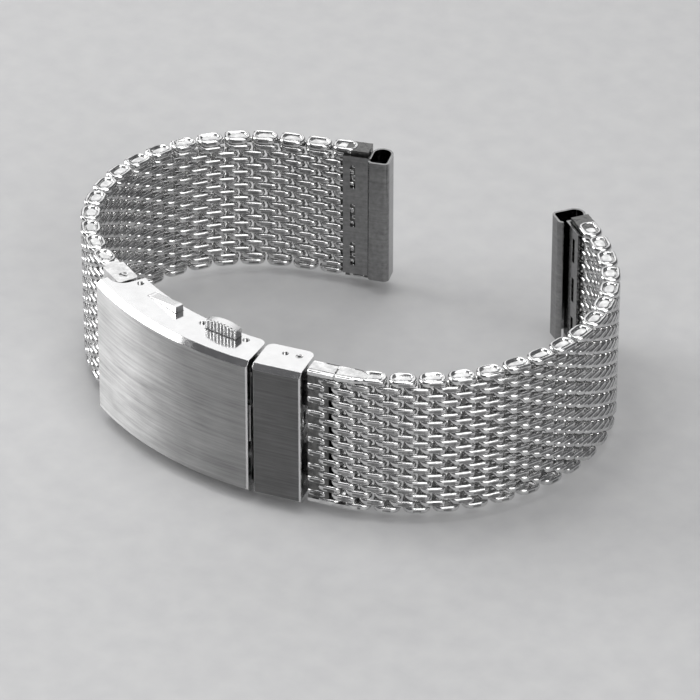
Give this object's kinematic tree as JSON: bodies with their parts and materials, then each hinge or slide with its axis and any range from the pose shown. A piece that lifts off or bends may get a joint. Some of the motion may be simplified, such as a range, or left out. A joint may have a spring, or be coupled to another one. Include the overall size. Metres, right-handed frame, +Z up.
{
  "type": "wire mesh watch bracelet",
  "caption": "Wire mesh bracelet for a watch, standing on its edge: linked wire coils, open lug ends, and a fold-over clasp with release buttons and a sliding end block.",
  "frame": {"origin": "centre of the bounding box at its lowest face, where the lowest release buttons touch the ground", "axes": "+Z up, across the band; +X along the clasp from its folding end to its sliding end; +Y from the clasp to the open lug ends"},
  "size_m": [0.0819, 0.0652, 0.0256],
  "materials": {
    "brushed_clasp": "outer face brushed along the band, bevels and side walls polished",
    "blade_steel": "rolled sheet, lightly brushed",
    "pin_steel": "drawn wire",
    "polished_button": "polished, with a ribbed crown on the extension buttons",
    "spring_wire": "drawn spring wire",
    "mesh_wire": "polished wire, soldered at the ends",
    "lug_sheet": "bent bright sheet"
  },
  "bodies": {
    "clasp_cover": {"cover": "brushed_clasp", "cover_hinge_pin": "pin_steel", "bracket_pins": "pin_steel", "button_bracket": "blade_steel", "latch_guide": "blade_steel", "fold_spring_top": "spring_wire", "fold_spring_bottom": "spring_wire", "extension_spring_top": "spring_wire", "extension_spring_bottom": "spring_wire"},
    "fold_button_upper": {"fold_button_top": "polished_button"},
    "fold_button_lower": {"fold_button_bottom": "polished_button"},
    "extension_button_upper": {"extension_button_top": "polished_button"},
    "extension_button_lower": {"extension_button_bottom": "polished_button"},
    "middle_blade": {"middle_blade": "blade_steel"},
    "base_blade": {"base_blade": "blade_steel", "blade_hinge_pin": "pin_steel"},
    "left_link": {"end_link_left": "mesh_wire", "link_pin": "pin_steel"},
    "end_slide": {"slide_tongue": "blade_steel", "end_block": "brushed_clasp", "slide_bar": "pin_steel", "mesh_pin": "pin_steel"},
    "right_link": {"end_link_right": "mesh_wire"},
    "left_mesh_1": {"mesh_left_1": "mesh_wire"},
    "left_mesh_2": {"mesh_left_2": "mesh_wire"},
    "left_mesh_3": {"mesh_left_3": "mesh_wire"},
    "left_mesh_4": {"mesh_left_4": "mesh_wire"},
    "left_mesh_5": {"mesh_left_5": "mesh_wire"},
    "left_mesh_6": {"mesh_left_6": "mesh_wire"},
    "left_mesh_7": {"mesh_left_7": "mesh_wire"},
    "left_mesh_8": {"mesh_left_8": "mesh_wire"},
    "left_mesh_9": {"mesh_left_9": "mesh_wire"},
    "left_mesh_10": {"mesh_left_10": "mesh_wire"},
    "left_lug_end": {"mesh_end_left": "mesh_wire", "lug_sheet_left": "lug_sheet"},
    "right_mesh_1": {"mesh_right_1": "mesh_wire"},
    "right_mesh_2": {"mesh_right_2": "mesh_wire"},
    "right_mesh_3": {"mesh_right_3": "mesh_wire"},
    "right_mesh_4": {"mesh_right_4": "mesh_wire"},
    "right_mesh_5": {"mesh_right_5": "mesh_wire"},
    "right_mesh_6": {"mesh_right_6": "mesh_wire"},
    "right_mesh_7": {"mesh_right_7": "mesh_wire"},
    "right_mesh_8": {"mesh_right_8": "mesh_wire"},
    "right_lug_end": {"mesh_end_right": "mesh_wire", "lug_sheet_right": "lug_sheet"}
  },
  "joints": [
    {"name": "fold_button_upper_press", "type": "slide", "parent": "clasp_cover", "child": "fold_button_upper", "axis": [0, 0, -1], "range_m": [0, 0.001], "stiffness_N_per_m": 180, "springref_m": -0.003, "deforming": ["fold_spring_top"]},
    {"name": "fold_button_lower_press", "type": "slide", "parent": "clasp_cover", "child": "fold_button_lower", "axis": [0, 0, 1], "range_m": [0, 0.001], "stiffness_N_per_m": 180, "springref_m": -0.003, "deforming": ["fold_spring_bottom"]},
    {"name": "extension_button_upper_press", "type": "slide", "parent": "clasp_cover", "child": "extension_button_upper", "axis": [0, 0, -1], "range_m": [0, 0.001], "stiffness_N_per_m": 180, "springref_m": -0.003, "deforming": ["extension_spring_top"]},
    {"name": "extension_button_lower_press", "type": "slide", "parent": "clasp_cover", "child": "extension_button_lower", "axis": [0, 0, 1], "range_m": [0, 0.001], "stiffness_N_per_m": 180, "springref_m": -0.003, "deforming": ["extension_spring_bottom"]},
    {"name": "clasp_fold", "type": "hinge", "parent": "clasp_cover", "child": "middle_blade", "pos_m": [-0.01557, -0.02546, 0.0128], "axis": [0, 0, 1], "range_deg": [0, 172]},
    {"name": "blade_fold", "type": "hinge", "parent": "middle_blade", "child": "base_blade", "pos_m": [0.0069, -0.02481, 0.0128], "axis": [0, 0, 1], "range_deg": [-172, 0]},
    {"name": "left_link_turn", "type": "hinge", "parent": "base_blade", "child": "left_link", "pos_m": [-0.01903, -0.02533, 0.0128], "axis": [0, 0, 1], "range_deg": [-25, 15]},
    {"name": "end_slide_travel", "type": "hinge", "parent": "clasp_cover", "child": "end_slide", "pos_m": [-0.00262, 0.01743, 0.0128], "axis": [0, 0, 1], "range_deg": [0, 10.2]},
    {"name": "right_link_turn", "type": "hinge", "parent": "end_slide", "child": "right_link", "pos_m": [0.01411, -0.02481, 0.0128], "axis": [0, 0, 1], "range_deg": [-6, 6]},
    {"name": "left_bend_1", "type": "hinge", "parent": "left_link", "child": "left_mesh_1", "pos_m": [-0.02377, -0.02365, 0.0128], "axis": [0, 0, 1], "range_deg": [-8, 9]},
    {"name": "left_bend_2", "type": "hinge", "parent": "left_mesh_1", "child": "left_mesh_2", "pos_m": [-0.02921, -0.02075, 0.0128], "axis": [0, 0, 1], "range_deg": [-8, 9]},
    {"name": "left_bend_3", "type": "hinge", "parent": "left_mesh_2", "child": "left_mesh_3", "pos_m": [-0.0338, -0.01664, 0.0128], "axis": [0, 0, 1], "range_deg": [-7, 10]},
    {"name": "left_bend_4", "type": "hinge", "parent": "left_mesh_3", "child": "left_mesh_4", "pos_m": [-0.03718, -0.0115, 0.0128], "axis": [0, 0, 1], "range_deg": [-7, 10]},
    {"name": "left_bend_5", "type": "hinge", "parent": "left_mesh_4", "child": "left_mesh_5", "pos_m": [-0.03908, -0.00565, 0.0128], "axis": [0, 0, 1], "range_deg": [-7, 10]},
    {"name": "left_bend_6", "type": "hinge", "parent": "left_mesh_5", "child": "left_mesh_6", "pos_m": [-0.03936, 0.0005, 0.0128], "axis": [0, 0, 1], "range_deg": [-7, 10]},
    {"name": "left_bend_7", "type": "hinge", "parent": "left_mesh_6", "child": "left_mesh_7", "pos_m": [-0.038, 0.0065, 0.0128], "axis": [0, 0, 1], "range_deg": [-7, 10]},
    {"name": "left_bend_8", "type": "hinge", "parent": "left_mesh_7", "child": "left_mesh_8", "pos_m": [-0.03509, 0.01193, 0.0128], "axis": [0, 0, 1], "range_deg": [-7, 10]},
    {"name": "left_bend_9", "type": "hinge", "parent": "left_mesh_8", "child": "left_mesh_9", "pos_m": [-0.03085, 0.01639, 0.0128], "axis": [0, 0, 1], "range_deg": [-7, 10]},
    {"name": "left_bend_10", "type": "hinge", "parent": "left_mesh_9", "child": "left_mesh_10", "pos_m": [-0.02561, 0.01962, 0.0128], "axis": [0, 0, 1], "range_deg": [-13, 6]},
    {"name": "left_bend_11", "type": "hinge", "parent": "left_mesh_10", "child": "left_lug_end", "pos_m": [-0.02008, 0.02238, 0.0128], "axis": [0, 0, 1], "range_deg": [-13, 6]},
    {"name": "right_bend_1", "type": "hinge", "parent": "right_link", "child": "right_mesh_1", "pos_m": [0.02049, -0.02401, 0.0128], "axis": [0, 0, 1], "range_deg": [-9, 9]},
    {"name": "right_bend_2", "type": "hinge", "parent": "right_mesh_1", "child": "right_mesh_2", "pos_m": [0.02765, -0.02, 0.0128], "axis": [0, 0, 1], "range_deg": [-9, 9]},
    {"name": "right_bend_3", "type": "hinge", "parent": "right_mesh_2", "child": "right_mesh_3", "pos_m": [0.03345, -0.01419, 0.0128], "axis": [0, 0, 1], "range_deg": [-9, 9]},
    {"name": "right_bend_4", "type": "hinge", "parent": "right_mesh_3", "child": "right_mesh_4", "pos_m": [0.03744, -0.00702, 0.0128], "axis": [0, 0, 1], "range_deg": [-9, 9]},
    {"name": "right_bend_5", "type": "hinge", "parent": "right_mesh_4", "child": "right_mesh_5", "pos_m": [0.03934, 0.00097, 0.0128], "axis": [0, 0, 1], "range_deg": [-9, 8]},
    {"name": "right_bend_6", "type": "hinge", "parent": "right_mesh_5", "child": "right_mesh_6", "pos_m": [0.03882, 0.00915, 0.0128], "axis": [0, 0, 1], "range_deg": [-9, 8]},
    {"name": "right_bend_7", "type": "hinge", "parent": "right_mesh_6", "child": "right_mesh_7", "pos_m": [0.0358, 0.01678, 0.0128], "axis": [0, 0, 1], "range_deg": [-9, 8]},
    {"name": "right_bend_8", "type": "hinge", "parent": "right_mesh_7", "child": "right_mesh_8", "pos_m": [0.03059, 0.02311, 0.0128], "axis": [0, 0, 1], "range_deg": [-8, 9]},
    {"name": "right_bend_9", "type": "hinge", "parent": "right_mesh_8", "child": "right_lug_end", "pos_m": [0.0239, 0.02789, 0.0128], "axis": [0, 0, 1], "range_deg": [-8, 9]}
  ],
  "couplings": [
    {"joint": "blade_fold", "follows": "clasp_fold", "ratio": -1}
  ]
}
